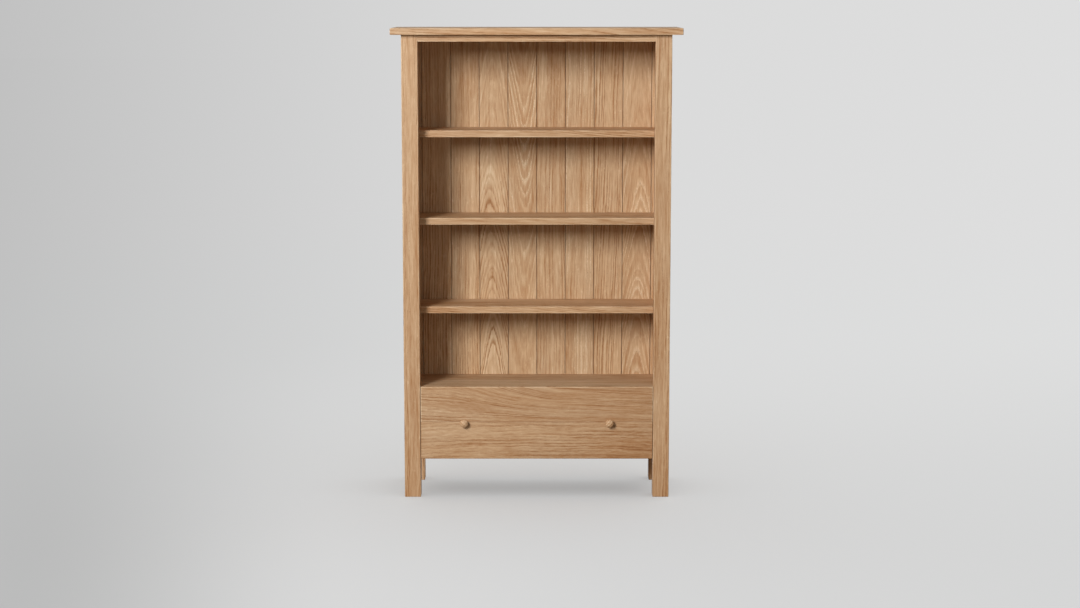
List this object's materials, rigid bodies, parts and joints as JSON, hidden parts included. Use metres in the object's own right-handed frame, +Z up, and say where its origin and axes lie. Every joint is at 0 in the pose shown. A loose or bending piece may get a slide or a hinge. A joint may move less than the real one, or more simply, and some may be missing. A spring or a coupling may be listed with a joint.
{
  "type": "bookcase with bottom drawer",
  "caption": "Tall open oak bookcase on square legs, with shelves, a tongue-and-groove back, an overhanging top and a wide drawer at the bottom with turned wooden knobs.",
  "frame": {"origin": "on the floor, under the centre of the whole bookcase with its knobs", "axes": "+X to the right as seen from the front, +Y towards the back, +Z up; the drawer opens towards -Y"},
  "size_m": [1.1, 0.384, 1.8],
  "materials": {
    "oak_posts": "satin oiled oak, straight vertical grain",
    "oak_top": "satin oiled oak, grain along the length",
    "oak_sides": "satin oiled oak, vertical grain",
    "oak_back": "satin oiled oak boards, each with its own figure",
    "oak_shelves": "satin oiled oak, grain along the length",
    "oak_drawer_front": "satin oiled oak, two boards edge-glued, grain along the length",
    "oak_knobs": "turned oak, end grain on the face",
    "oak_rails": "satin oiled oak, grain along the length",
    "drawer_box": "planed pale hardwood",
    "drawer_bottom_ply": "thin birch plywood",
    "runner_wood": "waxed beech",
    "steel_screws": "zinc plated",
    "steel_pins": "nickel plated"
  },
  "bodies": {
    "carcase": {"back_board_01": "oak_back", "back_board_02": "oak_back", "back_board_03": "oak_back", "back_board_04": "oak_back", "back_board_05": "oak_back", "back_board_06": "oak_back", "back_board_07": "oak_back", "back_board_08": "oak_back", "back_board_09": "oak_back", "back_board_10": "oak_back", "back_screws": "steel_screws", "bottom_shelf": "oak_shelves", "drawer_stop": "runner_wood", "front_left_post": "oak_posts", "front_right_post": "oak_posts", "guide_screws": "steel_screws", "left_drawer_guide": "runner_wood", "left_drawer_runner": "runner_wood", "left_side_panel": "oak_sides", "lower_front_rail": "oak_rails", "lower_rear_rail": "oak_rails", "lower_shelf": "oak_shelves", "middle_shelf": "oak_shelves", "rear_left_post": "oak_posts", "rear_right_post": "oak_posts", "right_drawer_guide": "runner_wood", "right_drawer_runner": "runner_wood", "right_side_panel": "oak_sides", "runner_screws": "steel_screws", "shelf_pins": "steel_pins", "stop_screws": "steel_screws", "top_front_rail": "oak_top", "top_panel": "oak_top", "top_rear_rail": "oak_rails", "top_screws": "steel_screws", "upper_shelf": "oak_shelves"},
    "drawer": {"drawer_front": "oak_drawer_front", "drawer_left_side": "drawer_box", "drawer_right_side": "drawer_box", "drawer_back": "drawer_box", "drawer_bottom": "drawer_bottom_ply", "left_knob": "oak_knobs", "right_knob": "oak_knobs", "knob_screws": "steel_screws", "drawer_bottom_screws": "steel_screws"}
  },
  "joints": [
    {"name": "drawer_slide", "type": "slide", "parent": "carcase", "child": "drawer", "axis": [0, -1, 0], "range_m": [0, 0.19]}
  ]
}
